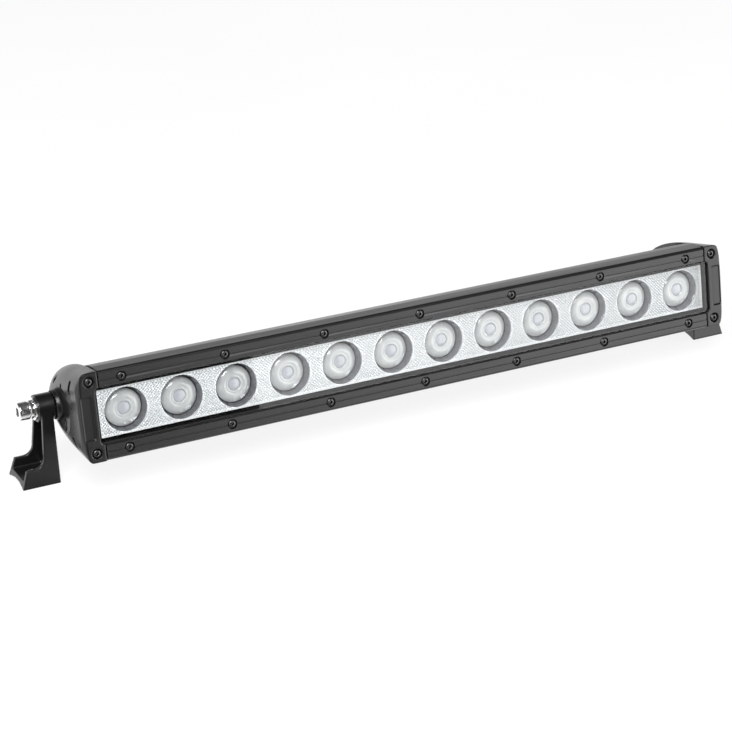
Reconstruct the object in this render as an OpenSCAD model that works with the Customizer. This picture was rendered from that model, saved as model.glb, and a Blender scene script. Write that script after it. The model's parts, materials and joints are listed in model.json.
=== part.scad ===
// LED light bar: one row of twelve lights in a finned aluminium body, carried at each end
// on a cast swivel bracket. Millimetres. +X runs along the bar, +Z is up, and the lights
// face -Y. The origin is midway between the two foot bolt holes, on the mounting plane.
//
// Every piece of the bar itself is drawn in the bar's own frame: Y = 0 is its front face,
// +Y runs back from it, and Z = 0 is its mid-height. place_bar() then sets it on the pivots.

/* [Lights] */
// Number of lights in the row
led_count = 12; // [6:2:16]
// Distance from one light to the next
led_pitch = 41; // [40:0.5:43]
// Angle at which the bar is aimed above level
aim_up = 9.5; // [0:0.5:15]

/* [Front] */
// Half of the height of the front face
face_half = 31.4; // [30.8:0.1:32]
// Half of the height of the window
window_half = 19.9; // [19:0.1:20.2]
// Depth of the bezel strips' outer lip
strip_lip = 11.5; // [10:0.5:13]
// Thickness of the clear front window
lens_t = 2.8; // [2.4:0.1:3]

/* [Body] */
// Depth of the end caps from front to back
cap_depth = 84; // [80:1:88]
// Width of an end cap, out to its side face
cap_w = 15.6; // [15:0.1:16.5]
// Distance of the heat-sink fins from each other
fin_pitch = 5.6; // [5.2:0.1:6]
// Thickness of one fin
fin_t = 2; // [1.6:0.1:2.4]

/* [Brackets] */
// Height of the pivot bolts above the mounting plane
pivot_h = 52.5; // [48:0.5:60]
// Distance of the pivot bolts behind the front face
pivot_y = 55; // [53:0.5:57]
// Width of a foot from front to back
foot_w = 31; // [28:0.5:34]
// Length of a foot along the bar
foot_l = 27.5; // [25:0.5:32]
// Diameter of the bolt hole in a foot
foot_hole_d = 8.5; // [6.5:0.5:9]
// Thickness of the bracket's walls
wall_t = 3; // [2.5:0.1:3.5]

/* [Fasteners] */
// Diameter of the pivot bolts
bolt_d = 8; // [8:8]
// Length of the pivot bolts under the head
bolt_l = 30; // [25:1:30]
// Diameter of the bezel screws
screw_d = 3; // [3:3]

/* [Hidden] */

$fn = 48;
eps = 0.01;
gap = 0.05;
swivel_gap = 0.08;
screw_gap = 0.15;
washer_gap = 0.2;

// Along the bar
screw_row = (led_count * led_pitch - 36) / 2;
screw_pitch = 4 * screw_row / led_count;
body_half = screw_row + 16.4;
gasket_t = 0.8;
cap_in = body_half + gasket_t;
cap_out = cap_in + cap_w;
window_end = body_half + 3.4;
lens_end = window_end + 2.2;
rail_end = body_half + 10.1;
end_screw_x = screw_row + 23.5;
end_screw_z = 25;

// Through the bar, from front to back
rebate_y = 2;
lens_back = rebate_y + lens_t;
ledge_y = lens_back + 0.8;
plate_y = ledge_y + 0.2;
plate_t = 1.6;
board_y = 24.9;
board_t = 1.6;
pad_t = 0.5;
web_y = board_y + board_t + pad_t;
web_t = 5;
duct_y = web_y + web_t;
duct_depth = 15;
duct_half = 10;
duct_wall = 3;
duct_back = duct_y + duct_depth + duct_wall;
cavity_half = 20.4;
lens_half = window_half + 3;
rail_z0 = 20.8;
rail_z1 = 27.6;
rail_back = 14;

// D-shaped outlines as [depth, half height, power, where the crown is]: the end cap at its inner
// end and at its side face, and the heat sink
cap_inner = [cap_depth, face_half + 0.4, 2.2, 4];
cap_side = [cap_depth - 30, 18, 1.15, 4];
sink = [cap_depth - 10, face_half + 1, 1.6, 11.5];
cap_round = 2.2;
side_bow_r = 130;
corner_r = 3.5;

// Pivot hardware, outwards along X
teeth_gap = 0.2;
boss_tip = cap_out + 0.8;
eye_in = boss_tip + teeth_gap;
eye_r = 9.6;
eye_out = eye_in + 12.5;
arm_in = eye_in + 2.5;
washer_t = 1.6;
spring_t = 2.9;
washer_x = eye_out + gap;
spring_x = washer_x + washer_t;
head_x = spring_x + spring_t;
head_l = 8;
head_r = 6.5;
foot_half = foot_w / 2;
foot_out = arm_in + foot_l;
foot_wall_h = 13;
floor_h = 5.6;
arch_h = 2.2;
foot_hole_x = foot_out - 12;
foot_boss_r = 7;

// Optics
bowl_r = 15.6;
lens_r = 12.2;
plate_half = 16.7;
plate_end = body_half + 0.7;

// Where the cable and the breather leave the back of the bar
gland_x = -60;
wire_x = gland_x + 13;
wire_r = 2.5;
vent_x = 90;
cable_r = 3.2;
cable_bend = 12;
cable_run = 62;

module place_bar() {
    translate([0, 0, pivot_h]) rotate([-aim_up, 0, 0]) translate([0, -pivot_y, 0]) children();
}

// side = -1 draws an end piece for the left end, side = 1 for the right end
module at_end(side) {
    mirror([side < 0 ? 1 : 0, 0, 0]) children();
}

// Extrudes a profile drawn in (y, z) along X, from x0 to x1
module along_x(x0, x1) {
    translate([x0, 0, 0]) rotate([90, 0, 90]) linear_extrude(x1 - x0) children();
}

// Extrudes a profile drawn in (x, z) along Y, from y0 to y1
module along_y(y0, y1) {
    translate([0, y1, 0]) rotate([90, 0, 0]) linear_extrude(y1 - y0) children();
}

// Cylinder along X from x0 to x1, and along Y from y0 to y1
module rod_x(x0, x1, y, z, r1, r2) {
    translate([x0, y, z]) rotate([0, 90, 0]) cylinder(h = x1 - x0, r1 = r1, r2 = r2);
}
module rod_y(x, y0, y1, z, r) {
    translate([x, y0, z]) rotate([-90, 0, 0]) cylinder(h = y1 - y0, r = r);
}

function mirrored(points) = [for (i = [len(points) - 1:-1:0]) [points[i][0], -points[i][1]]];
function arc(cx, cy, r, a0, a1, steps) =
    [for (i = [0:steps]) let (a = a0 + (a1 - a0) * i / steps) [cx + r * cos(a), cy + r * sin(a)]];

// Upper half of a D outline as (y, z): flat front, low crown, rounded back. inset draws it in.
function d_upper(d, front_half, front_y, inset, steps) = let (
    run = d[0] - inset - d[3],
    half = d[1] - inset,
    e = 2 / d[2]
) concat(
    [[front_y, front_half]],
    [for (i = [0:steps]) let (a = 90 * i / steps) [d[3] + run * pow(sin(a), e), half * pow(cos(a), e)]]
);
module d_outline(d, front_half, front_y = 0, inset = 0, steps = 16) {
    upper = d_upper(d, front_half, front_y, inset, steps);
    polygon(concat(upper, mirrored(upper)));
}

// Rectangle with rounded corners, centred
module rounded_rect(w, h, r) {
    polygon(concat(
        arc(w / 2 - r, h / 2 - r, r, 0, 90, 5), arc(-w / 2 + r, h / 2 - r, r, 90, 180, 5),
        arc(-w / 2 + r, -h / 2 + r, r, 180, 270, 5), arc(w / 2 - r, -h / 2 + r, r, 270, 360, 5)
    ));
}

// ---------------------------------------------------------------- heat-sink housing

module fin_gaps() {
    for (s = [-1, 1], k = [0:4]) {
        z = (k + 0.5) * fin_pitch;
        start = z < duct_half + duct_wall ? duct_back : duct_y;
        translate([start, s * z - (fin_pitch - fin_t) / 2])
            square([cap_depth, fin_pitch - fin_t]);
    }
}

module housing_profile() {
    difference() {
        union() {
            difference() {
                d_outline(sink, sink[1], sink[3]);
                fin_gaps();
            }
            for (s = [-1, 1]) translate([ledge_y, s > 0 ? rail_z0 - 0.4 : -rail_z1])
                square([rail_back, rail_z1 - rail_z0 + 0.4]);
        }
        translate([0, -cavity_half]) square([web_y, 2 * cavity_half]);
        translate([duct_y, -duct_half]) square([duct_depth, 2 * duct_half]);
    }
}

module housing() {
    color([0.08, 0.08, 0.085]) place_bar() difference() {
        union() {
            along_x(-body_half, body_half) housing_profile();
            for (s = [-1, 1]) along_x(-rail_end, rail_end)
                translate([ledge_y, s > 0 ? rail_z0 : -rail_z1])
                    square([rail_back - ledge_y, rail_z1 - rail_z0]);
        }
        for (s = [-1, 1], x = bezel_screw_xs())
            rod_y(x, ledge_y - eps, rail_back - 2, s * end_screw_z, screw_d / 2 + gap);
        for (s = [-1, 1], x = [-end_screw_x, end_screw_x])
            rod_y(x, ledge_y - eps, rail_back - 2, s * end_screw_z, screw_d / 2 + gap);
        for (x = board_screw_xs()) rod_y(x, web_y - eps, web_y + 4, 0, screw_d / 2 + gap);
        rod_y(gland_x, duct_back - duct_wall - eps, duct_back + eps, 0, 6 + gap);
        rod_y(gland_x, duct_back, cap_depth, 0, 12.5);
        rod_y(vent_x, duct_back - duct_wall - eps, duct_back + eps, 0, 4 + gap);
        rod_y(vent_x, duct_back, cap_depth, 0, 10);
        rod_y(wire_x, web_y - eps, duct_y + eps, 0, wire_r);
    }
}

// ---------------------------------------------------------------- bezel strips and screws

function bezel_screw_xs() = [for (i = [0:led_count / 2]) i * screw_pitch - screw_row];

module strip_profile() {
    chamfer = 1.9;
    groove = 0.6;
    difference() {
        polygon([
            [0, window_half + 0.6], [0.6, window_half], [rebate_y, window_half],
            [rebate_y, lens_half + gap], [ledge_y, lens_half + gap],
            [ledge_y, rail_z1 + gap], [strip_lip, rail_z1 + gap],
            [strip_lip, face_half + 1], [chamfer, face_half], [0.6, face_half - 0.7],
            [0, face_half - chamfer]
        ]);
        translate([-eps, end_screw_z - groove]) square([groove, 2 * groove]);
    }
}

module bezel_strip(s) {
    mirror([0, 0, s < 0 ? 1 : 0]) difference() {
        along_x(-body_half, body_half) strip_profile();
        for (x = bezel_screw_xs()) {
            rod_y(x, -eps, ledge_y + eps, end_screw_z, screw_d / 2 + screw_gap);
            rod_y(x, -eps, 1.9, end_screw_z, 3.6);
        }
    }
}
module bezel_top() {
    color([0.10, 0.10, 0.105]) place_bar() bezel_strip(1);
}
module bezel_bottom() {
    color([0.10, 0.10, 0.105]) place_bar() bezel_strip(-1);
}

// Button-head screw along Y: head in a counterbore, hexagon socket in front
module button_screw(x, y_seat, z, length) {
    difference() {
        union() {
            rod_y(x, y_seat - 1.7, y_seat, z, 2.8);
            rod_y(x, y_seat - eps, y_seat + length, z, screw_d / 2);
        }
        translate([x, y_seat - 1.7 - eps, z]) rotate([-90, 0, 0]) cylinder(h = 1.1, r = 1.15, $fn = 6);
    }
}
module bezel_screws_top() {
    color([0.16, 0.16, 0.17]) place_bar()
        for (x = bezel_screw_xs()) button_screw(x, 1.9, end_screw_z, 9);
}
module bezel_screws_bottom() {
    color([0.16, 0.16, 0.17]) place_bar()
        for (x = bezel_screw_xs()) button_screw(x, 1.9, -end_screw_z, 9);
}

// ---------------------------------------------------------------- end caps

function mix(a, b, t) = a + (b - a) * t;

// Half height of the front face at distance x along the cap: level, a rounded corner, a bowed side
function front_at(x) = let (
    straight = face_half - corner_r,
    bow_x = cap_w - straight * straight / (2 * side_bow_r),
    c = x - (bow_x - corner_r)
) x < bow_x - corner_r ? face_half
    : x < bow_x ? straight + sqrt(corner_r * corner_r - c * c)
    : sqrt(2 * side_bow_r * (cap_w - x));

// One slice of the cap, t of the way round from its inner end to its side face
cap_slices = 15;
module cap_slice(t) {
    x = cap_w * pow(1 - pow(1 - t, cap_round), 1 / cap_round);
    bevel = max(0, x - cap_w + 2.4);
    translate([cap_in + x - (t > 0 ? eps : 0), 0, 0]) rotate([90, 0, 90]) linear_extrude(eps)
        d_outline(mix(cap_inner, cap_side, t), front_at(x), bevel, 0, 20);
}

module cap_body() {
    hull() for (i = [0:cap_slices]) cap_slice(1 - pow(cos(90 * i / cap_slices), 2 / cap_round));
}

// Blind slots in the side face, each [y, z, angle from upright, length]
side_slots = [
    [17, 19.6, -15, 10], [35.5, 14, 8, 9], [55, 18, -50, 9],
    [18.5, -19.4, 48, 9.7], [37.5, -10.8, 33, 9.1], [55, -18, 50, 9]
];
slot_w = 3.4;
slot_floor = 8;

dish_depth = 2.8;
dish_r = 70;

module side_slot(y, z, angle, length) {
    translate([window_end + slot_floor, y, z]) rotate([90, 0, 90]) rotate([0, 0, -angle])
        linear_extrude(cap_w) rounded_rect(slot_w, length, slot_w / 2 - 0.05);
}

module cap_cuts() {
    // Window corner, lens rebate and the open end of the light cavity
    along_y(-eps, rebate_y + eps) rounded_rect(2 * window_end, 2 * window_half, 3);
    along_y(rebate_y, ledge_y) rounded_rect(2 * lens_end + 0.1, 2 * lens_half + 0.1, 1);
    translate([0, ledge_y - eps, -window_half]) cube([window_end, web_y - ledge_y, 2 * window_half]);
    // Pockets for the housing's screw rails
    for (s = [-1, 1]) translate([0, ledge_y - eps, s > 0 ? rail_z0 - 0.2 : -rail_z1 - 0.2])
        cube([rail_end + 0.2, rail_back - ledge_y + 0.2, rail_z1 - rail_z0 + 0.4]);
    // Front screws
    for (s = [-1, 1]) {
        rod_y(end_screw_x, -eps, ledge_y + eps, s * end_screw_z, screw_d / 2 + screw_gap);
        rod_y(end_screw_x, -eps, 1.9, s * end_screw_z, 3.6);
    }
    // Sunken panel on the front face
    translate([(window_end + cap_out) / 2 + 0.5, 0, 0]) along_y(-eps, 1) rounded_rect(8, 30.6, 1.5);
    // Hollow back
    along_x(cap_in - eps, cap_in + 7) translate([web_y + 2, 0])
        intersection() {
            translate([-web_y - 2, 0]) d_outline(cap_inner, face_half - 5, 0, 5);
            translate([0, -40]) square([80, 80]);
        }
    // Dish round the pivot boss
    translate([cap_out - dish_depth + dish_r, 41, 0]) sphere(r = dish_r, $fn = 96);
    for (q = side_slots) side_slot(q[0], q[1], q[2], q[3]);
}

module cap_teeth() {
    for (i = [0:23]) translate([boss_tip - 0.6, pivot_y, 0]) rotate([i * 15, 0, 0])
        translate([0, -0.45, 4.6]) cube([1, 0.9, 8]);
}

module end_cap() {
    difference() {
        union() {
            difference() {
                cap_body();
                cap_cuts();
            }
            rod_x(cap_in + 0.4, cap_out - 4, pivot_y, 0, 11, 11);
            rod_x(cap_out - 5, boss_tip, pivot_y, 0, 12.2, 10.2);
        }
        rod_x(cap_in - eps, boss_tip + eps, pivot_y, 0, bolt_d / 2 + gap, bolt_d / 2 + gap);
        cap_teeth();
    }
}
module end_cap_left() {
    color([0.09, 0.09, 0.095]) place_bar() at_end(-1) end_cap();
}
module end_cap_right() {
    color([0.09, 0.09, 0.095]) place_bar() at_end(1) end_cap();
}

module end_cap_screws() {
    color([0.16, 0.16, 0.17]) place_bar()
        for (e = [-1, 1], s = [-1, 1]) at_end(e) button_screw(end_screw_x, 1.9, s * end_screw_z, 9);
}

// Flat gasket between the housing's end and the cap, open in the middle
module end_gasket() {
    along_x(body_half, cap_in) difference() {
        d_outline(sink, sink[1] - 0.6, sink[3], 0.6);
        translate([0, -rail_z1 - 0.3]) square([rail_back + 0.3, 2 * rail_z1 + 0.6]);
        translate([0, -cavity_half]) square([web_y, 2 * cavity_half]);
        translate([duct_y, -duct_half]) square([duct_depth, 2 * duct_half]);
    }
}
module end_gasket_left() {
    color([0.03, 0.03, 0.03]) place_bar() at_end(-1) end_gasket();
}
module end_gasket_right() {
    color([0.03, 0.03, 0.03]) place_bar() at_end(1) end_gasket();
}

// ---------------------------------------------------------------- window, optics and lights

module front_window() {
    color([0.92, 0.95, 0.97, 0.25]) place_bar()
        along_y(rebate_y, lens_back) rounded_rect(2 * lens_end, 2 * lens_half, 1);
}

module window_gasket() {
    color([0.04, 0.04, 0.04]) place_bar() along_y(lens_back, ledge_y) difference() {
        rounded_rect(2 * lens_end, 2 * lens_half, 1);
        square([2 * window_end - 2.2, 2 * window_half - 0.6], center = true);
    }
}

function light_xs() = [for (i = [0:led_count - 1]) (i - (led_count - 1) / 2) * led_pitch];

// Revolves a profile of (radius, height) about a light's axis. Height 0 is the plate's front
// and runs back towards the board.
module at_light(x) {
    translate([x, plate_y, 0]) rotate([-90, 0, 0]) rotate_extrude() children();
}

bowl_depth = board_y - plate_y - 1.9;
module reflector_plate() {
    color([0.85, 0.86, 0.88]) place_bar() difference() {
        union() {
            along_y(plate_y, plate_y + plate_t) square([2 * plate_end, 2 * plate_half], center = true);
            for (x = post_xs()) rod_y(x, plate_y, board_y, 0, 2.2);
            for (x = light_xs()) at_light(x)
                polygon([[0, 0], [bowl_r + 0.9, 0], [13.9, 7], [9, bowl_depth], [0, bowl_depth]]);
        }
        for (x = light_xs()) at_light(x) polygon([
            [0, -1], [bowl_r + 0.4, -1], [bowl_r, 0], [12.9, 7], [8, bowl_depth + eps], [0, bowl_depth + eps]
        ]);
    }
}

// Clear collimator with a domed front, standing on the board around its emitter
module light_optics() {
    top = 4;
    rim = 6.5;
    base = board_y - plate_y;
    color([0.90, 0.93, 0.95, 0.5]) place_bar() for (x = light_xs()) at_light(x) polygon(concat(
        [for (i = [0:6]) let (a = 90 * i / 6) [lens_r * sin(a), rim - (rim - top) * cos(a)]],
        [[lens_r, rim + 0.8], [6.4, base], [4.2, base], [4.2, base - 3.4], [0, base - 4.4]]
    ));
}

module led_emitters() {
    color([0.95, 0.86, 0.45]) place_bar() for (x = light_xs()) {
        translate([x - 1.75, board_y - 0.8, -1.75]) cube([3.5, 0.8, 3.5]);
        rod_y(x, board_y - 1.9, board_y - 0.8, 0, 1.5);
    }
}

// Screws hold the board between every second pair of lights, and the plate's posts stand between
// the others
function board_screw_xs() = [for (i = [1:2:led_count - 1]) (i - led_count / 2) * led_pitch];
function post_xs() = [for (i = [2:2:led_count - 2]) (i - led_count / 2) * led_pitch];

module led_board() {
    color([0.93, 0.93, 0.90]) place_bar() difference() {
        translate([-body_half + 1, board_y, -17]) cube([2 * body_half - 2, board_t, 34]);
        for (x = board_screw_xs()) rod_y(x, board_y - eps, board_y + board_t + eps, 0, screw_d / 2 + screw_gap);
        rod_y(wire_x, board_y - eps, board_y + board_t + eps, 0, wire_r);
    }
}
module thermal_pad() {
    color([0.55, 0.60, 0.66]) place_bar() difference() {
        translate([-body_half + 2, web_y - pad_t, -16]) cube([2 * body_half - 4, pad_t, 32]);
        for (x = board_screw_xs()) rod_y(x, web_y - pad_t - eps, web_y + eps, 0, screw_d / 2 + screw_gap);
        rod_y(wire_x, web_y - pad_t - eps, web_y + eps, 0, wire_r);
    }
}
module led_board_screws() {
    color([0.72, 0.72, 0.74]) place_bar() for (x = board_screw_xs()) difference() {
        union() {
            rod_y(x, board_y - 1.8, board_y, 0, 2.8);
            rod_y(x, board_y - eps, web_y + 3.5, 0, screw_d / 2);
        }
        translate([x, board_y - 1.8 - eps, 0]) rotate([-90, 0, 0]) cylinder(h = 1, r = 1.15, $fn = 6);
    }
}

// ---------------------------------------------------------------- driver, cable and breather

driver_x = 20;
driver_l = 110;
coil_h = 6.5;
module driver_board() {
    color([0.05, 0.30, 0.15]) place_bar() translate([driver_x - driver_l / 2, duct_y, -duct_half + gap])
        cube([driver_l, 1.6, 2 * duct_half - 2 * gap]);
}
module driver_coils() {
    color([0.25, 0.24, 0.24]) place_bar()
        for (x = [-36, -20]) rod_y(driver_x + x, duct_y + 1.6, duct_y + 1.6 + coil_h, 0, 6);
}
module driver_capacitors() {
    color([0.20, 0.22, 0.30]) place_bar()
        for (x = [-3, 9, 21]) rod_y(driver_x + x, duct_y + 1.6, duct_y + 11, 3, 4);
}
module driver_chips() {
    color([0.07, 0.07, 0.08]) place_bar() for (x = [30, 40]) translate([driver_x + x, duct_y + 1.6, -5])
        cube([6, 1.8, 8]);
}

module cable_gland() {
    color([0.06, 0.06, 0.06]) place_bar() difference() {
        union() {
            rod_y(gland_x, duct_back - duct_wall - 1, duct_back + eps, 0, 6);
            translate([gland_x, duct_back, 0]) rotate([-90, 0, 0]) cylinder(h = 4, r = 8, $fn = 6);
            rod_y(gland_x, duct_back + 4 - eps, duct_back + 7, 0, 5);
        }
        rod_y(gland_x, duct_back - 10, cap_depth, 0, cable_r + gap);
    }
}
module gland_nut() {
    color([0.05, 0.05, 0.05]) place_bar() difference() {
        union() {
            translate([gland_x, duct_back + 4 + gap, 0]) rotate([-90, 0, 0]) cylinder(h = 4, r = 7.6, $fn = 6);
            translate([gland_x, duct_back + 8, 0]) rotate([-90, 0, 0]) cylinder(h = 4, r1 = 6.5, r2 = 4.6);
        }
        rod_y(gland_x, duct_back, duct_back + 7 + gap, 0, 5 + gap);
        rod_y(gland_x, duct_back, cap_depth, 0, cable_r + gap);
    }
}

bend_y = duct_back + 19.5;
module power_cable() {
    color([0.04, 0.04, 0.045]) place_bar() {
        rod_y(gland_x, duct_y + 4, bend_y, 0, cable_r);
        translate([gland_x + cable_bend, bend_y, 0])
            rotate([0, 0, 90]) rotate_extrude(angle = 90) translate([cable_bend, 0]) circle(r = cable_r);
        rod_x(gland_x + cable_bend - eps, gland_x + cable_bend + cable_run, bend_y + cable_bend, 0, cable_r, cable_r);
    }
}
module cable_plug() {
    x = gland_x + cable_bend + cable_run;
    color([0.05, 0.05, 0.055]) place_bar() translate([x, bend_y + cable_bend, 0]) difference() {
        union() {
            translate([0, -6, -5]) cube([26, 12, 10]);
            translate([20, -7.2, -6.2]) cube([3, 14.4, 12.4]);
            translate([8, -2.5, 5 - eps]) cube([12, 5, 1.6]);
        }
        for (y = [-2.8, 2.8]) rod_x(18, 26 + eps, y, 0, 1.3, 1.3);
    }
}

module breather_vent() {
    color([0.07, 0.07, 0.075]) place_bar() union() {
        rod_y(vent_x, duct_back - duct_wall, duct_back + eps, 0, 4);
        translate([vent_x, duct_back, 0]) rotate([-90, 0, 0]) cylinder(h = 3, r = 6.4, $fn = 8);
        rod_y(vent_x, duct_back + 3 - eps, duct_back + 4.2, 0, 5);
    }
}

// ---------------------------------------------------------------- brackets and pivot hardware

// The arm's edges run from the foot's corners and end inside the eye, nearly tangent to it
arm_r = eye_r - 0.15;
arm_lean = acos(arm_r / norm([foot_half, pivot_h])) - atan2(pivot_h, foot_half);

module arm_outline(inset) {
    r = arm_r - inset;
    polygon(concat(
        [[foot_half - inset / cos(arm_lean), 0]],
        [for (i = [0:12]) let (a = arm_lean + (180 - 2 * arm_lean) * i / 12) [r * cos(a), pivot_h + r * sin(a)]],
        [[-foot_half + inset / cos(arm_lean), 0]]
    ));
}

// L shape of the bracket as seen from the front, in (x, z), with its inner corner rounded
module bracket_side() {
    arm_top = eye_out - 2;
    arm_low = arm_top + 2.3;
    end_slope = 4;
    inner_r = 7;
    polygon(concat(
        [[arm_in, 0], [foot_out, 0], [foot_out - end_slope, foot_wall_h]],
        arc(arm_low + inner_r, foot_wall_h + inner_r, inner_r, 270, 180, 6),
        [[arm_top, pivot_h], [arm_top, pivot_h + eye_r + 1], [arm_in, pivot_h + eye_r + 1]]
    ));
}

// Pocket between the bracket's two flanges, in (x, z)
module bracket_pocket() {
    x0 = arm_in + wall_t;
    pocket_r = 3;
    polygon(concat(
        arc(x0 + pocket_r, floor_h + pocket_r, pocket_r, 180, 270, 5),
        [[foot_out + 1, floor_h], [foot_out + 1, pivot_h], [x0, pivot_h]]
    ));
}

// Foot and arm: an L-shaped U-section, arched underneath
module bracket_shell() {
    arch_half = foot_half - 2;
    arch_r = (arch_half * arch_half + arch_h * arch_h) / (2 * arch_h);
    difference() {
        intersection() {
            along_x(arm_in, foot_out) arm_outline(0);
            along_y(-foot_half, foot_half) bracket_side();
        }
        intersection() {
            along_x(arm_in, foot_out + 1) arm_outline(wall_t);
            along_y(-foot_half, foot_half) bracket_pocket();
        }
        rod_x(arm_in - 1, foot_out + 1, 0, arch_h - arch_r, arch_r, arch_r, $fn = 96);
    }
}

module bracket() {
    difference() {
        union() {
            bracket_shell();
            rod_x(eye_in, eye_out, 0, pivot_h, eye_r, eye_r);
            translate([foot_hole_x, 0, 0]) cylinder(h = floor_h - 1, r = foot_boss_r);
        }
        rod_x(eye_in - eps, eye_out + eps, 0, pivot_h, bolt_d / 2 + swivel_gap, bolt_d / 2 + swivel_gap);
        translate([foot_hole_x, 0, -1]) cylinder(h = floor_h + 2, r = foot_hole_d / 2);
        for (i = [0:23]) translate([eye_in - eps, 0, pivot_h]) rotate([i * 15 + 7.5, 0, 0])
            translate([0, -0.45, 4.6]) cube([0.6, 0.9, 8]);
    }
}
module bracket_left() {
    color([0.07, 0.07, 0.075]) at_end(-1) bracket();
}
module bracket_right() {
    color([0.07, 0.07, 0.075]) at_end(1) bracket();
}

// Socket-head bolt along X, through the bracket's eye into the end cap
module pivot_bolt() {
    difference() {
        union() {
            rod_x(head_x, head_x + head_l, pivot_y, 0, head_r, head_r);
            rod_x(head_x - bolt_l, head_x + eps, pivot_y, 0, bolt_d / 2, bolt_d / 2);
        }
        translate([head_x + head_l - 4, pivot_y, 0]) rotate([0, 90, 0])
            cylinder(h = 5, r = 3 / cos(30), $fn = 6);
    }
}
module pivot_bolt_left() {
    color([0.80, 0.81, 0.82]) place_bar() at_end(-1) pivot_bolt();
}
module pivot_bolt_right() {
    color([0.80, 0.81, 0.82]) place_bar() at_end(1) pivot_bolt();
}

module flat_washer() {
    difference() {
        rod_x(washer_x, spring_x, pivot_y, 0, 8, 8);
        rod_x(washer_x - eps, spring_x + eps, pivot_y, 0, bolt_d / 2 + washer_gap, bolt_d / 2 + washer_gap);
    }
}
module flat_washer_left() {
    color([0.78, 0.79, 0.80]) place_bar() at_end(-1) flat_washer();
}
module flat_washer_right() {
    color([0.78, 0.79, 0.80]) place_bar() at_end(1) flat_washer();
}

// Split spring washer, its slit cut on the slant
module spring_washer() {
    difference() {
        rod_x(spring_x, head_x, pivot_y, 0, 6.5, 6.5);
        rod_x(spring_x - eps, head_x + eps, pivot_y, 0, bolt_d / 2 + washer_gap, bolt_d / 2 + washer_gap);
        translate([(spring_x + head_x) / 2, pivot_y, 5.5]) rotate([0, 0, 20]) cube([6, 1, 6], center = true);
    }
}
module spring_washer_left() {
    color([0.70, 0.71, 0.73]) place_bar() at_end(-1) spring_washer();
}
module spring_washer_right() {
    color([0.70, 0.71, 0.73]) place_bar() at_end(1) spring_washer();
}

housing();
bezel_top();
bezel_bottom();
end_cap_left();
end_cap_right();
end_gasket_left();
end_gasket_right();
front_window();
window_gasket();
reflector_plate();
light_optics();
led_emitters();
led_board();
thermal_pad();
led_board_screws();
driver_board();
driver_coils();
driver_capacitors();
driver_chips();
bezel_screws_top();
bezel_screws_bottom();
end_cap_screws();
cable_gland();
gland_nut();
power_cable();
cable_plug();
breather_vent();
bracket_left();
bracket_right();
pivot_bolt_left();
pivot_bolt_right();
flat_washer_left();
flat_washer_right();
spring_washer_left();
spring_washer_right();
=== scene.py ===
"""LED light bar: the looks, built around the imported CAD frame.

Lengths are millimetres in the bar's own frame unless a name ends in _m: +X runs along the bar,
Y = 0 is its front face with +Y running back, and Z = 0 is its mid-height. BAR turns them into
the row frame's metres, with the bar set on its pivots and aimed up.
"""
import json
import math
import random

import bmesh
import bpy
from mathutils import Matrix, Quaternion, Vector


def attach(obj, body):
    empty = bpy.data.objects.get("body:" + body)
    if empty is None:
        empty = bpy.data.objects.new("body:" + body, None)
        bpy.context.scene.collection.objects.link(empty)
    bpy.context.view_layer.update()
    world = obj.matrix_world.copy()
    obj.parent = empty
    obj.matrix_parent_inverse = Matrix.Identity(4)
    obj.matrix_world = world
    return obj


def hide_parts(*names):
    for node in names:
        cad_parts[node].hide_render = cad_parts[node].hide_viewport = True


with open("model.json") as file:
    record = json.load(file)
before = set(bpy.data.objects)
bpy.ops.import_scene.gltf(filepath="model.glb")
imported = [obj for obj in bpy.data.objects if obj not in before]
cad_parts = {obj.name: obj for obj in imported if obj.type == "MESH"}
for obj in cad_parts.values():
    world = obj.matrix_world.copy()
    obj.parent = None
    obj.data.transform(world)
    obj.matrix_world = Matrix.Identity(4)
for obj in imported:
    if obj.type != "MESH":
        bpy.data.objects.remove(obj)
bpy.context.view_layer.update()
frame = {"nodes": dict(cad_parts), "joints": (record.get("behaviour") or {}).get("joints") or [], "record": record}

# ---------------------------------------------------------------- where the bar stands

MM = 0.001
AIM_UP = math.radians(9.5)
PIVOT_M = Vector(frame["joints"][0]["pos_m"])


def corners(node, matrix):
    """Lowest and highest corner of a CAD node after its points are turned by matrix."""
    points = [matrix @ v.co for v in frame["nodes"][node].data.vertices]
    low = Vector([min(p[i] for p in points) for i in range(3)])
    high = Vector([max(p[i] for p in points) for i in range(3)])
    return low, high


LEVEL = Matrix.Scale(1 / MM, 4) @ Matrix.Rotation(AIM_UP, 4, "X") @ Matrix.Translation(-PIVOT_M)
PIVOT_Y = -corners("bezel_top", LEVEL)[0].y
TO_BAR = Matrix.Translation((0, PIVOT_Y, 0)) @ LEVEL
BAR = TO_BAR.inverted()


def bar_box(node):
    """Lowest and highest corner of a CAD node in the bar's frame."""
    return corners(node, TO_BAR)


PLATE_LOW, PLATE_HIGH = bar_box("reflector_plate")
LENS_LOW, LENS_HIGH = bar_box("light_optics")
LIGHTS = 12
PITCH = (LENS_HIGH.x - LENS_LOW.x - (LENS_HIGH.z - LENS_LOW.z)) / (LIGHTS - 1)
LIGHT_XS = [(i - (LIGHTS - 1) / 2) * PITCH for i in range(LIGHTS)]
BEZEL_SCREWS = 7
SCREW_HEAD_R = 2.8
SCREW_Z = bar_box("bezel_screws_top")[1].z - SCREW_HEAD_R
BEZEL_FIRST = bar_box("bezel_screws_top")[0].x + SCREW_HEAD_R
BEZEL_PITCH = -2 * BEZEL_FIRST / (BEZEL_SCREWS - 1)
CAP_SCREW_X = bar_box("end_cap_screws")[1].x - SCREW_HEAD_R


# ---------------------------------------------------------------- node material helpers

# Sockets of the Mix node when it blends colours.
MIX_FACTOR, MIX_FIRST, MIX_SECOND, MIX_RESULT = 0, 6, 7, 2


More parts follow.
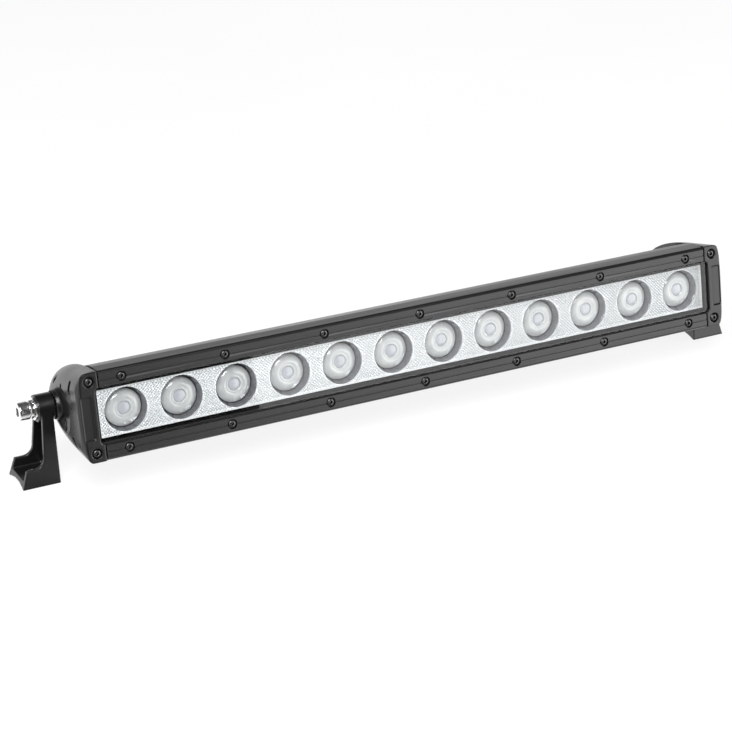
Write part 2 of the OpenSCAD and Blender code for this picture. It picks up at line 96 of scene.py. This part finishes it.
def new_material(name):
    made = bpy.data.materials.new(name)
    made.use_nodes = True
    return made, made.node_tree, made.node_tree.nodes["Principled BSDF"]


def fill(made, inputs):
    for key, value in inputs.items():
        socket = made.inputs[key]
        if isinstance(value, bpy.types.NodeSocket):
            made.id_data.links.new(value, socket)
        elif isinstance(value, tuple) and len(value) == 3 and socket.type == "RGBA":
            socket.default_value = (*value, 1)
        else:
            socket.default_value = value
    return made


def add(tree, kind, inputs=None, **settings):
    made = tree.nodes.new("ShaderNode" + kind)
    for key, value in settings.items():
        setattr(made, key, value)
    return fill(made, inputs or {})


def place(tree, stretch=(1, 1, 1)):
    """Object coordinates in metres, stretched along each axis."""
    coords = add(tree, "TexCoord").outputs["Object"]
    return add(tree, "Mapping", {"Vector": coords, "Scale": stretch}).outputs["Vector"]


def noise(tree, scale, detail, stretch=(1, 1, 1)):
    """Noise with about scale features a metre."""
    inputs = {"Vector": place(tree, stretch), "Scale": scale, "Detail": detail}
    return add(tree, "TexNoise", inputs).outputs["Fac"]


def remap(tree, value, low, high, to_low, to_high):
    inputs = {"Value": value, "From Min": low, "From Max": high,
              "To Min": to_low, "To Max": to_high}
    return add(tree, "MapRange", inputs).outputs["Result"]


def blend_colour(tree, factor, first, second):
    inputs = {MIX_FACTOR: factor, MIX_FIRST: first, MIX_SECOND: second}
    return add(tree, "Mix", inputs, data_type="RGBA").outputs[MIX_RESULT]


def bump(tree, height, depth_mm, strength, under=None):
    inputs = {"Height": height, "Distance": depth_mm * MM, "Strength": strength}
    if under:
        inputs["Normal"] = under
    return add(tree, "Bump", inputs).outputs["Normal"]


def worn_edges(tree, start, end):
    """0 on flat ground, 1 on sharp outer edges."""
    pointed = add(tree, "NewGeometry").outputs["Pointiness"]
    return remap(tree, pointed, start, end, 0.0, 1.0)


def open_to_room(tree, reach_mm, low, high):
    """0 deep in a recess, 1 where the surface is open: a mask for painted shade in slots, sockets and gaps."""
    inputs = {"Distance": reach_mm * MM}
    seen = add(tree, "AmbientOcclusion", inputs, samples=6, only_local=False).outputs["AO"]
    return remap(tree, seen, low, high, 0.0, 1.0)


# ---------------------------------------------------------------- materials

def paler(colour, times):
    return tuple(times * c for c in colour)


def coated_casting(name, colour, edge_colour, roughness, paint_recess_shade=False):
    """Satin powder coat over a casting, with orange peel and pale edges. It can paint shade into recesses."""
    made, tree, shader = new_material(name)
    peel = noise(tree, 420, 2)
    grain = noise(tree, 2600, 3)
    cloud = noise(tree, 35, 4)
    base = blend_colour(tree, remap(tree, cloud, 0.35, 0.65, 0, 1), colour, paler(colour, 1.35))
    worn = blend_colour(tree, worn_edges(tree, 0.55, 0.68), base, edge_colour)
    normal = bump(tree, grain, 0.012, 0.6, bump(tree, peel, 0.035, 0.5))
    fill(shader, {
        "Base Color": worn, "Normal": normal, "IOR": 1.5,
        "Roughness": remap(tree, cloud, 0.3, 0.7, roughness - 0.05, roughness + 0.06),
    })
    if paint_recess_shade:
        # Painted shade: deep in slots and gaps the sheen fades away, so they read as dark.
        sheen_left_by_painted_shade = remap(tree, open_to_room(tree, 4, 0.55, 0.9), 0, 1, 0.01, 0.5)
        fill(shader, {"Specular IOR Level": sheen_left_by_painted_shade})
    return made


def anodised(name, colour, roughness):
    """Black anodised extrusion: fine drawing lines along the bar."""
    made, tree, shader = new_material(name)
    lines = noise(tree, 1, 4, (14, 2600, 2600))
    broad = noise(tree, 1, 3, (5, 420, 420))
    specks = noise(tree, 900, 2)
    shade = remap(tree, broad, 0.3, 0.7, 0, 1)
    base = blend_colour(tree, shade, colour, paler(colour, 1.3))
    worn = blend_colour(tree, worn_edges(tree, 0.56, 0.70), base, (0.05, 0.05, 0.052))
    normal = bump(tree, specks, 0.006, 0.5, bump(tree, lines, 0.016, 0.8))
    fill(shader, {
        "Base Color": worn, "Normal": normal, "IOR": 1.5, "Anisotropic": 0.4,
        "Roughness": remap(tree, lines, 0.3, 0.7, roughness - 0.06, roughness + 0.08),
    })
    return made


def bright_steel():
    """Bright zinc plate: cloudy, slightly warm and cool, with small handling marks."""
    made, tree, shader = new_material("bright_steel")
    cloud = noise(tree, 160, 4)
    marks = noise(tree, 2200, 3, (1, 0.25, 0.25))
    warm, cool = (0.90, 0.89, 0.86), (0.80, 0.82, 0.84)
    tint = blend_colour(tree, remap(tree, cloud, 0.35, 0.65, 0, 1), warm, cool)
    fill(shader, {
        "Base Color": tint, "Metallic": 1.0, "Normal": bump(tree, marks, 0.01, 0.5),
        "Roughness": remap(tree, marks, 0.3, 0.7, 0.12, 0.26),
    })
    return made


def black_steel():
    """Black-oxide screws, oily where they are smooth and worn along their edges, with painted shade in their
    sockets.
    """
    made, tree, shader = new_material("black_steel")
    grain = noise(tree, 1800, 3)
    oxide, rubbed, painted_shade_black = (0.02, 0.02, 0.021), (0.24, 0.24, 0.24), (0.002, 0.002, 0.002)
    worn = blend_colour(tree, worn_edges(tree, 0.52, 0.60), oxide, rubbed)
    # Painted shade: sockets and other recesses are darkened to near black.
    base = blend_colour(tree, open_to_room(tree, 1.5, 0.3, 0.75), painted_shade_black, worn)
    fill(shader, {
        "Base Color": base, "Metallic": 0.85, "Normal": bump(tree, grain, 0.008, 0.5),
        "Roughness": remap(tree, grain, 0.3, 0.7, 0.26, 0.42),
    })
    return made


def metallised(name, colour, metallic, roughness):
    """Vacuum-metallised moulding: bright, with the faint haze of the plastic beneath."""
    made, tree, shader = new_material(name)
    haze = noise(tree, 500, 3)
    ripple = noise(tree, 90, 2)
    fill(shader, {
        "Base Color": colour, "Metallic": metallic,
        "Normal": bump(tree, ripple, 0.03, 0.25, bump(tree, haze, 0.006, 0.4)),
        "Roughness": remap(tree, haze, 0.3, 0.7, roughness - 0.04, roughness + 0.05),
    })
    return made


def knurled_plating(name):
    """Bright plating with painted shade in its valleys, which are darker than its peaks."""
    made, tree, shader = new_material(name)
    pointed = add(tree, "NewGeometry").outputs["Pointiness"]
    raised = remap(tree, pointed, 0.42, 0.58, 0, 1)
    haze = noise(tree, 500, 3)
    # Painted shade: the valleys take the dark colour, the peaks the plating's own.
    fill(shader, {
        "Base Color": blend_colour(tree, raised, (0.12, 0.12, 0.125), (0.70, 0.70, 0.71)),
        "Metallic": 0.2,
        "Normal": bump(tree, haze, 0.006, 0.4),
        "Roughness": remap(tree, haze, 0.3, 0.7, 0.26, 0.34),
    })
    return made


def clear_window():
    """Clear polycarbonate pane: see-through, with a soft mirror of the room on its face."""
    made, tree, shader = new_material("clear_window")
    tree.nodes.remove(shader)
    smear = noise(tree, 60, 3, (0.4, 1, 1))
    ripple = bump(tree, noise(tree, 25, 1), 0.01, 0.2)
    rough = remap(tree, smear, 0.3, 0.7, 0.0, 0.05)
    through = add(tree, "BsdfTransparent", {"Color": (0.97, 0.98, 0.98)})
    mirror = add(tree, "BsdfGlossy", {"Color": (1, 1, 1), "Roughness": rough, "Normal": ripple})
    # Only the entry face mirrors: from inside, Fresnel mirrors everything past 46 degrees.
    fresnel = add(tree, "Fresnel", {"IOR": 1.4}).outputs["Fac"]
    entering = remap(tree, add(tree, "NewGeometry").outputs["Backfacing"], 0, 1, 1, 0)
    share = add(tree, "Math", {0: fresnel, 1: entering}, operation="MULTIPLY").outputs["Value"]
    both = add(tree, "MixShader", {0: share, 1: through.outputs[0], 2: mirror.outputs[0]})
    output = [n for n in tree.nodes if n.type == "OUTPUT_MATERIAL"][0]
    tree.links.new(both.outputs[0], output.inputs["Surface"])
    return made


def clear_optic(name, colour, second_colour):
    """Clear acrylic with a faint milkiness where the moulding scatters the light."""
    made, tree, shader = new_material(name)
    cloud = noise(tree, 130, 3)
    base = blend_colour(tree, remap(tree, cloud, 0.3, 0.7, 0, 1), colour, second_colour)
    fill(shader, {
        "Base Color": base, "Roughness": remap(tree, cloud, 0.3, 0.7, 0.05, 0.14), "IOR": 1.49,
        "Transmission Weight": 0.25, "Coat Weight": 0.6, "Coat Roughness": 0.03,
        "Normal": bump(tree, cloud, 0.02, 0.2),
    })
    return made


def moulded(name, colour, roughness, grain_mm=0.02):
    """Moulded nylon or rubber with a spark-eroded grain."""
    made, tree, shader = new_material(name)
    grain = noise(tree, 1500, 3)
    cloud = noise(tree, 70, 3)
    base = blend_colour(tree, remap(tree, cloud, 0.3, 0.7, 0, 1), colour, paler(colour, 1.4))
    fill(shader, {
        "Base Color": base, "Normal": bump(tree, grain, grain_mm, 0.7),
        "Roughness": remap(tree, cloud, 0.3, 0.7, roughness - 0.06, roughness + 0.06),
    })
    return made


def phosphor():
    """Yellow phosphor, finely speckled."""
    made, tree, shader = new_material("emitter")
    speck = noise(tree, 4000, 2)
    deep, pale = (0.90, 0.72, 0.18), (0.95, 0.85, 0.42)
    base = blend_colour(tree, remap(tree, speck, 0.3, 0.7, 0, 1), deep, pale)
    fill(shader, {"Base Color": base, "Roughness": 0.5, "Normal": bump(tree, speck, 0.01, 0.5)})
    return made


def circuit_board(name, mask, track):
    """Solder mask over copper: faint raised tracks in a grid of cells."""
    made, tree, shader = new_material(name)
    cells = add(tree, "TexVoronoi", {"Vector": place(tree), "Scale": 260.0}, distance="MANHATTAN")
    edge = remap(tree, cells.outputs["Distance"], 0.35, 0.45, 0, 1)
    base = blend_colour(tree, edge, mask, track)
    fill(shader, {"Base Color": base, "Roughness": 0.32, "Normal": bump(tree, edge, 0.03, 0.6)})
    return made


CAST_BLACK, CAST_EDGE, CAST_ROUGHNESS = (0.0045, 0.0045, 0.0048), (0.03, 0.03, 0.03), 0.32

MATERIALS = {
    "black_coated_aluminium": anodised("black_coated_aluminium", (0.012, 0.012, 0.0125), 0.36),
    "black_anodised_strip": anodised("black_anodised_strip", (0.006, 0.006, 0.0063), 0.30),
    "black_cast_metal": coated_casting("black_cast_metal", CAST_BLACK, CAST_EDGE, CAST_ROUGHNESS),
    "black_rubber": moulded("black_rubber", (0.010, 0.010, 0.010), 0.75),
    "clear_window": clear_window(),
    "silver_reflector": knurled_plating("silver_reflector"),
    "clear_optic": clear_optic("clear_optic", (0.48, 0.48, 0.49), (0.60, 0.60, 0.59)),
    "emitter": phosphor(),
    "white_board": circuit_board("white_board", (0.82, 0.82, 0.78), (0.72, 0.72, 0.68)),
    "grey_pad": moulded("grey_pad", (0.35, 0.38, 0.42), 0.8),
    "bright_steel": bright_steel(),
    "black_steel": black_steel(),
    "green_board": circuit_board("green_board", (0.015, 0.16, 0.06), (0.03, 0.24, 0.09)),
    "component_dark": moulded("component_dark", (0.03, 0.03, 0.035), 0.5),
    "black_nylon": moulded("black_nylon", (0.018, 0.018, 0.019), 0.48),
    "black_cable": moulded("black_cable", (0.014, 0.014, 0.015), 0.42, 0.012),
}

# The caps' coat has painted shade in its slots and recesses.
CAP_COAT = coated_casting("cap_coat", CAST_BLACK, CAST_EDGE, CAST_ROUGHNESS, paint_recess_shade=True)
OPTIC_CENTRE = clear_optic("optic_centre", (0.44, 0.44, 0.48), (0.52, 0.52, 0.56))
BOWL_MIRROR = metallised("bowl_mirror", (0.36, 0.36, 0.38), 0.85, 0.2)

SLOT_OF = {part["node"]: part["material_slot"] for part in frame["record"]["subparts"]}
BODY_OF = {n: body for body, group in frame["record"]["behaviour"]["bodies"].items() for n in group}


# ---------------------------------------------------------------- mesh helpers

def make_object(name, mesh):
    made = bpy.data.objects.new(name, mesh)
    bpy.context.scene.collection.objects.link(made)
    return made


def modify(piece, kind, **settings):
    made = piece.modifiers.new(kind.lower(), kind)
    for key, value in settings.items():
        setattr(made, key, value)
    return made


def bake(piece):
    """Applies a piece's modifiers, so that its mesh is the final one."""
    graph = bpy.context.evaluated_depsgraph_get()
    mesh = bpy.data.meshes.new_from_object(piece.evaluated_get(graph))
    piece.modifiers.clear()
    old, piece.data = piece.data, mesh
    bpy.data.meshes.remove(old)
    return piece


def smooth_by_angle(mesh, degrees):
    """Smooth shading that stays sharp where faces meet at more than the angle."""
    work = bmesh.new()
    work.from_mesh(mesh)
    limit = math.radians(degrees)
    for face in work.faces:
        face.smooth = True
    for edge in work.edges:
        edge.smooth = len(edge.link_faces) == 2 and edge.calc_face_angle(0) < limit
    work.to_mesh(mesh)
    work.free()


def dress(piece, node, material=None):
    """Gives a new piece the finish and the body of the CAD node that it stands for."""
    piece.data.materials.clear()
    piece.data.materials.append(material or MATERIALS[SLOT_OF[node]])
    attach(piece, BODY_OF[node])
    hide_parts(node)
    return piece


def cad_copy(node):
    """A copy of a CAD node's mesh with its split corners welded and its flat faces whole."""
    mesh = frame["nodes"][node].data.copy()
    work = bmesh.new()
    work.from_mesh(mesh)
    bmesh.ops.remove_doubles(work, verts=work.verts, dist=2e-6)
    flat = math.radians(0.5)
    bmesh.ops.dissolve_limit(work, angle_limit=flat, verts=work.verts, edges=work.edges)
    work.to_mesh(mesh)
    work.free()
    return mesh


def refined(node, name, edge_mm, angle):
    """The CAD node's own shape with the edges that turn by more than the angle rounded."""
    piece = make_object(name, cad_copy(node))
    modify(piece, "BEVEL", width=edge_mm * MM, segments=2, limit_method="ANGLE",
           angle_limit=math.radians(angle), harden_normals=False, use_clamp_overlap=True)
    bake(piece)
    smooth_by_angle(piece.data, angle)
    modify(piece, "WEIGHTED_NORMAL", keep_sharp=True, weight=80)
    return dress(piece, node)


def cast(node, name, cell_mm, rounds, material=None):
    """The CAD node's shape as a casting: remeshed finely, then every edge softened."""
    piece = make_object(name, cad_copy(node))
    modify(piece, "REMESH", mode="VOXEL", voxel_size=cell_mm * MM, use_smooth_shade=True)
    modify(piece, "SMOOTH", factor=0.5, iterations=rounds)
    bake(piece)
    return dress(piece, node, material)


# ---------------------------------------------------------------- shapes in the bar's frame

def mesh_from(name, points, faces):
    """A mesh of points in the bar's frame."""
    mesh = bpy.data.meshes.new(name)
    mesh.from_pydata([BAR @ Vector(p) for p in points], [], faces)
    return mesh


def tidy_normals(mesh):
    work = bmesh.new()
    work.from_mesh(mesh)
    bmesh.ops.remove_doubles(work, verts=work.verts, dist=1e-6)
    bmesh.ops.recalc_face_normals(work, faces=work.faces)
    work.to_mesh(mesh)
    work.free()


def turned(profile, steps, at, axis="Y", radius_at=None):
    """Points and faces of a closed profile of (radius, height) turned about an axis through at.

    Height runs along the axis. radius_at(radius, height, angle) may change the radius on the way.
    """
    points, faces = [], []
    count = len(profile)
    for k in range(steps):
        angle = 2 * math.pi * k / steps
        for radius, height in profile:
            r = radius_at(radius, height, angle) if radius_at else radius
            a, b = r * math.cos(angle), r * math.sin(angle)
            local = (a, height, b) if axis == "Y" else (height, a, b)
            points.append(tuple(at[i] + local[i] for i in range(3)))
    for k in range(steps):
        for i in range(count):
            a, b = k * count + i, k * count + (i + 1) % count
            c, d = ((k + 1) % steps) * count + (i + 1) % count, ((k + 1) % steps) * count + i
            faces.append((a, b, c, d))
    return points, faces


def merge(shapes):
    """Joins several (points, faces) into one."""
    points, faces = [], []
    for more_points, more_faces in shapes:
        start = len(points)
        points += more_points
        faces += [tuple(start + i for i in face) for face in more_faces]
    return points, faces


def hexagon(radius, angle):
    """Distance from the middle to the side of a hexagon that is 2 * radius across its flats."""
    turn = (angle + math.pi / 6) % (math.pi / 3) - math.pi / 6
    return radius / math.cos(turn)


# ---------------------------------------------------------------- reflector and optics

KNURL = 1.2  # half the pitch of the diamonds
KNURL_DEPTH = 0.42
KNURL_PLAY = 0.08  # unevenness of the tips and valleys
KNURL_SEED = 5
BORDER = 1  # flat cells round the knurl
BOWL_R = 15.6
PLATE_T = 1.5
PLATE_BACK = PLATE_LOW.y + PLATE_T


def knurled_slab():
    """The reflector's front: diamond pyramids inside a narrow flat border."""
    chance = random.Random(KNURL_SEED)
    columns = int(2 * PLATE_HIGH.x / KNURL)
    rows = int(2 * PLATE_HIGH.z / KNURL)
    points, faces = [], []
    for i in range(columns + 1):
        for j in range(rows + 1):
            inside = BORDER <= i <= columns - BORDER and BORDER <= j <= rows - BORDER
            valley = inside and (i + j) % 2 == 0
            x = (2 * i / columns - 1) * PLATE_HIGH.x
            z = (2 * j / rows - 1) * PLATE_HIGH.z
            play = chance.uniform(0, KNURL_PLAY) if inside else 0
            points.append((x, PLATE_LOW.y + play + (KNURL_DEPTH if valley else 0), z))
    front = len(points)
    points += [(x, PLATE_BACK, z) for x, _, z in points]

    def at(i, j):
        return i * (rows + 1) + j

    for i in range(columns):
        for j in range(rows):
            a, b, c, d = at(i, j), at(i + 1, j), at(i + 1, j + 1), at(i, j + 1)
            faces += [(a, b, c), (a, c, d)] if (i + j) % 2 == 0 else [(a, b, d), (b, c, d)]
    rim = [at(i, 0) for i in range(columns)] + [at(columns, j) for j in range(rows)]
    rim += [at(i, rows) for i in range(columns, 0, -1)] + [at(0, j) for j in range(rows, 0, -1)]
    for a, b in zip(rim, rim[1:] + rim[:1]):
        faces.append((a, a + front, b + front, b))
    faces.append(tuple(a + front for a in reversed(rim)))
    used = sorted({i for face in faces for i in face})
    number = {old: new for new, old in enumerate(used)}
    return [points[i] for i in used], [tuple(number[i] for i in face) for face in faces]


def bowl(x):
    """A faceted bowl of flat mirrors behind the plate's opening."""
    wall = 0.7
    inner = [(16.1, 0), (14.6, 4.6), (12.2, 10.4), (8.6, 15.8)]
    outer = [(r + wall, y) for r, y in reversed(inner)]
    return turned(inner + outer, 16, (x, PLATE_BACK - 0.3, 0))


def reflector():
    """The knurled plate, cut open for the lights, and the bowls behind it."""
    slab = make_object("reflector_slab", mesh_from("reflector_slab", *knurled_slab()))
    tidy_normals(slab.data)
    reach = 4
    drill = [(0.01, -reach), (BOWL_R, -reach), (BOWL_R, reach), (0.01, reach)]
    drills = merge([turned(drill, 72, (x, PLATE_LOW.y, 0)) for x in LIGHT_XS])
    cutter = make_object("bowl_openings", mesh_from("bowl_openings", *drills))
    tidy_normals(cutter.data)
    modify(slab, "BOOLEAN", object=cutter, operation="DIFFERENCE", solver="EXACT")
    bake(slab)
    bpy.data.objects.remove(cutter)
    slab.data.shade_flat()
    slab.name = "reflector_knurled"
    dress(slab, "reflector_plate")
    bowls = make_object("reflector_bowls", mesh_from("bowls", *merge([bowl(x) for x in LIGHT_XS])))
    tidy_normals(bowls.data)
    bowls.data.shade_flat()
    dress(bowls, "reflector_plate", BOWL_MIRROR)


LENS_R = 13.2
RIM_R = 6.4  # where the raised ring meets the dome


def lens_profile():
    """(radius, depth behind the plate's front) of one lens: a raised ring, a dome and a cone."""
    base = LENS_HIGH.y - PLATE_LOW.y
    ring = [(4.55, 5.3), (4.65, 4.75), (4.85, 4.5), (5.4, 4.36), (6.0, 4.4), (RIM_R, 4.52)]
    steps = [i / 10 for i in range(1, 11)]
    dome = [(RIM_R + (LENS_R - RIM_R) * t, 4.52 - 0.3 * math.sin(math.pi * t ** 0.6) + 2.4 * t ** 3)
            for t in steps]
    side = [(LENS_R, 7.2), (6.4, base - 0.05), (4.55, base - 0.05)]
    return ring + dome + side


def centre_profile():
    """The lens's sunken middle: a shallow dome on a plug."""
    base = LENS_HIGH.y - PLATE_LOW.y
    dome = [(0.01, 4.6), (1.6, 4.66), (3.0, 4.8), (4.0, 5.0), (4.5, 5.2)]
    return dome + [(4.5, base - 3.4), (0.01, base - 4.4)]


def optics():
    """Twelve lenses and their sunken middles."""
    for name, profile, material in (("optic_lenses", lens_profile(), None),
                                    ("optic_centres", centre_profile(), OPTIC_CENTRE)):
        shapes = [turned(profile, 56, (x, PLATE_LOW.y, 0)) for x in LIGHT_XS]
        made = make_object(name, mesh_from(name, *merge(shapes)))
        tidy_normals(made.data)
        smooth_by_angle(made.data, 40)
        dress(made, "light_optics", material)


# ---------------------------------------------------------------- screws and pivot hardware

def button_head(x, z, seat):
    """A button-head screw whose head stands on seat: domed, with a hexagon socket."""
    head, top, socket = 2.8, seat - 1.7, 1.25
    profile = [(0.01, top + 1.5), (socket, top + 1.5), (socket, top + 0.1),
               (socket + 0.12, top), (1.8, top + 0.02), (2.3, top + 0.22),
               (2.65, top + 0.6), (head, top + 1.1), (head, seat),
               (1.5, seat), (1.5, seat + 8.6), (1.1, seat + 9), (0.01, seat + 9)]

    def shaped(radius, _, angle):
        return hexagon(radius, angle) if abs(radius - socket) < 0.2 else radius

    return turned(profile, 36, (x, 0, z), radius_at=shaped)


SEAT = 1.9  # the counterbores' depth


def screws(name, node, places):
    shapes = [button_head(x, z, SEAT) for x, z in places]
    made = make_object(name, mesh_from(name, *merge(shapes)))
    tidy_normals(made.data)
    smooth_by_angle(made.data, 30)
    dress(made, node)


def pivot_bolt(side):
    """Socket-head bolt: a knurled head with a chamfered top and a hexagon socket."""
    node = f"pivot_bolt_{side}"
    low, high = bar_box(node)
    sign = 1 if side == "right" else -1
    tip, top = (low.x, high.x) if sign > 0 else (high.x, low.x)
    head, shank, socket, length = 6.5, 4.0, 3.05, 8.0
    knurls = 30
    flank = [(head, top - sign * d) for d in (1.1, 1.6, 3.2, 4.8, 6.4, 7.2)]
    profile = [(0.01, top - sign * 4), (socket, top - sign * 4), (socket, top - sign * 0.35),
               (socket + 0.3, top), (5.5, top), (6.1, top - sign * 0.2), (6.4, top - sign * 0.7)]
    profile += flank + [(6.2, top - sign * (length - 0.3)), (5.9, top - sign * length)]
    profile += [(shank, top - sign * length), (shank, tip + sign * 1)]
    profile += [(shank - 0.9, tip), (0.01, tip)]

    def shaped(radius, height, angle):
        depth = abs(top - height)
        if radius <= socket + 0.31 and radius > 1 and depth <= 4:
            return hexagon(radius, angle)
        if radius == head and 1.2 < depth < 7:
            return head - 0.10 * (1 + math.cos(knurls * 2 * angle)) / 2
        return radius

    shape = turned(profile, 6 * knurls, (0, PIVOT_Y, 0), axis="X", radius_at=shaped)
    made = make_object(f"socket_bolt_{side}", mesh_from(f"socket_bolt_{side}", *shape))
    tidy_normals(made.data)
    smooth_by_angle(made.data, 35)
    dress(made, node)


def spring_washer(side):
    """One turn of square wire, its cut ends standing apart along the bolt."""
    node = f"spring_washer_{side}"
    low, high = bar_box(node)
    inner, outer, wire, steps = 4.2, high.z, 2.1, 72
    middle, lift = (low.x + high.x) / 2, (high.x - low.x - wire) / 2
    ease = 0.25
    section = [(inner + ease, -wire / 2), (outer - ease, -wire / 2), (outer, ease - wire / 2),
               (outer, wire / 2 - ease), (outer - ease, wire / 2), (inner + ease, wire / 2),
               (inner, wire / 2 - ease), (inner, ease - wire / 2)]
    points, faces = [], []
    for k in range(steps + 1):
        t = k / steps
        angle = math.radians(100 + 348 * t)
        for radius, height in section:
            points.append((middle + height + lift * (2 * t - 1), PIVOT_Y + radius * math.cos(angle),
                           radius * math.sin(angle)))
    count = len(section)
    for k in range(steps):
        for i in range(count):
            j = (i + 1) % count
            faces.append((k * count + i, k * count + j, (k + 1) * count + j, (k + 1) * count + i))
    faces.append(tuple(range(count)))
    faces.append(tuple(reversed(range(steps * count, (steps + 1) * count))))
    made = make_object(f"split_washer_{side}", mesh_from(f"split_washer_{side}", points, faces))
    tidy_normals(made.data)
    smooth_by_angle(made.data, 30)
    dress(made, node)


# ---------------------------------------------------------------- pieces

# CAD node: (piece, width of the rounded edge, angle above which an edge is rounded)
ROUNDED = {
    "housing": ("housing_shell", 0.25, 32), "bezel_top": ("bezel_strip_top", 0.12, 20),
    "bezel_bottom": ("bezel_strip_bottom", 0.12, 20), "front_window": ("window_pane", 0.2, 32),
    "cable_gland": ("gland_body", 0.35, 32), "gland_nut": ("gland_dome_nut", 0.35, 32),
    "cable_plug": ("plug_shell", 0.5, 32), "breather_vent": ("breather_cap", 0.4, 32),
    "flat_washer_left": ("plain_washer_left", 0.3, 32),
    "flat_washer_right": ("plain_washer_right", 0.3, 32),
}
for cad_node, (piece_name, edge, sharp_angle) in ROUNDED.items():
    refined(cad_node, piece_name, edge, sharp_angle)
reflector()
optics()
VOXEL = 0.4  # cell of the remeshed castings
BEZEL_XS = [BEZEL_FIRST + i * BEZEL_PITCH for i in range(BEZEL_SCREWS)]
screws("strip_screws_top", "bezel_screws_top", [(x, SCREW_Z) for x in BEZEL_XS])
screws("strip_screws_bottom", "bezel_screws_bottom", [(x, -SCREW_Z) for x in BEZEL_XS])
screws("cap_screws", "end_cap_screws", [(x, z) for x in (-CAP_SCREW_X, CAP_SCREW_X)
                                        for z in (-SCREW_Z, SCREW_Z)])
for side in ("left", "right"):
    cast(f"bracket_{side}", f"bracket_casting_{side}", VOXEL, 5)
    cast(f"end_cap_{side}", f"end_cap_casting_{side}", VOXEL, 3, CAP_COAT)
    pivot_bolt(side)
    spring_washer(side)

for cad_node, shown in frame["nodes"].items():
    if not shown.hide_render:
        shown.data.materials.clear()
        shown.data.materials.append(MATERIALS[SLOT_OF[cad_node]])


# ---------------------------------------------------------------- studio

FLOOR_HALF_M = 9.0
FLOOR_DROP_M = 0.0002  # keeps the floor clear of the feet
FLOOR_GLOW = 0.86


def floor():
    """A pale light table: it glows a little, so that shadows on it stay faint."""
    mesh = bpy.data.meshes.new("studio_floor")
    work = bmesh.new()
    bmesh.ops.create_grid(work, x_segments=8, y_segments=8, size=FLOOR_HALF_M)
    work.to_mesh(mesh)
    work.free()
    made = make_object("studio_floor", mesh)
    made.location.z = -FLOOR_DROP_M
    made.visible_glossy = False
    made.visible_shadow = False
    sheet, tree, shader = new_material("light_table")
    cloud = noise(tree, 3, 2)
    grey, light_grey = (0.16, 0.16, 0.16), (0.18, 0.18, 0.18)
    shade = blend_colour(tree, remap(tree, cloud, 0.3, 0.7, 0, 1), grey, light_grey)
    fill(shader, {
        "Base Color": shade, "Roughness": 0.9, "Specular IOR Level": 0.0,
        "Emission Color": (1.0, 1.0, 1.0), "Emission Strength": FLOOR_GLOW,
    })
    mesh.materials.append(sheet)


def softbox(name, position, target, width, height, radiance):
    """A soft rectangular light of that radiance, facing its target."""
    light = bpy.data.lights.new(name, "AREA")
    light.shape = "RECTANGLE"
    light.size, light.size_y = width, height
    light.energy = radiance * math.pi * width * height
    made = make_object(name, light)
    made.location = position
    made.rotation_mode = "QUATERNION"
    made.rotation_quaternion = (Vector(target) - Vector(position)).to_track_quat("-Z", "Y")
    made.visible_camera = False


def room():
    """A pale horizon under a dark ceiling, with the camera's side left dark."""
    world = bpy.data.worlds.new("studio_room")
    bpy.context.scene.world = world
    world.use_nodes = True
    tree = world.node_tree
    direction = add(tree, "TexCoord").outputs["Generated"]
    towards = Vector((0.05, -1.0, 0.0)).normalized()
    facing = add(tree, "VectorMath", {0: direction, 1: towards}, operation="DOT_PRODUCT")
    open_side = remap(tree, facing.outputs["Value"], 0.35, 0.85, 1.3, 0.06)
    height = add(tree, "SeparateXYZ", {0: direction}).outputs["Z"]
    ceiling = remap(tree, height, 0.15, 0.6, 1.0, 0.06)
    shade = add(tree, "Math", {0: open_side, 1: ceiling}, operation="MULTIPLY")
    tree.links.new(shade.outputs["Value"], tree.nodes["Background"].inputs["Strength"])
    tree.nodes["Background"].inputs["Color"].default_value = (1, 1, 1, 1)


def camera():
    """The photo's viewpoint, recovered from the lights and screws."""
    position = Vector((-0.7080, -1.3651, 0.6860))
    target = Vector((-0.0387, -0.0400, 0.0502))
    roll = math.radians(-0.91)
    lens = bpy.data.cameras.new("studio_camera")
    lens.lens = 110.8
    lens.sensor_width = 36.0
    made = make_object("studio_camera", lens)
    made.location = position
    made.rotation_mode = "QUATERNION"
    aim = (target - position).to_track_quat("-Z", "Y")
    made.rotation_quaternion = aim @ Quaternion((0, 0, 1), roll)
    bpy.context.scene.camera = made


floor()
room()
softbox("right_front_softbox", (2.0, -2.3, -0.05), (0.1, 0, 0.05), 2.4, 1.7, 3.2)
softbox("right_softbox", (2.5, -0.95, 0.6), (0.25, 0, 0.05), 1.2, 1.0, 7.0)
softbox("key_softbox", (-0.9, -1.6, 1.9), (0, 0, 0.05), 1.4, 1.4, 15.0)
camera()
bpy.context.scene.view_settings.view_transform = "Standard"
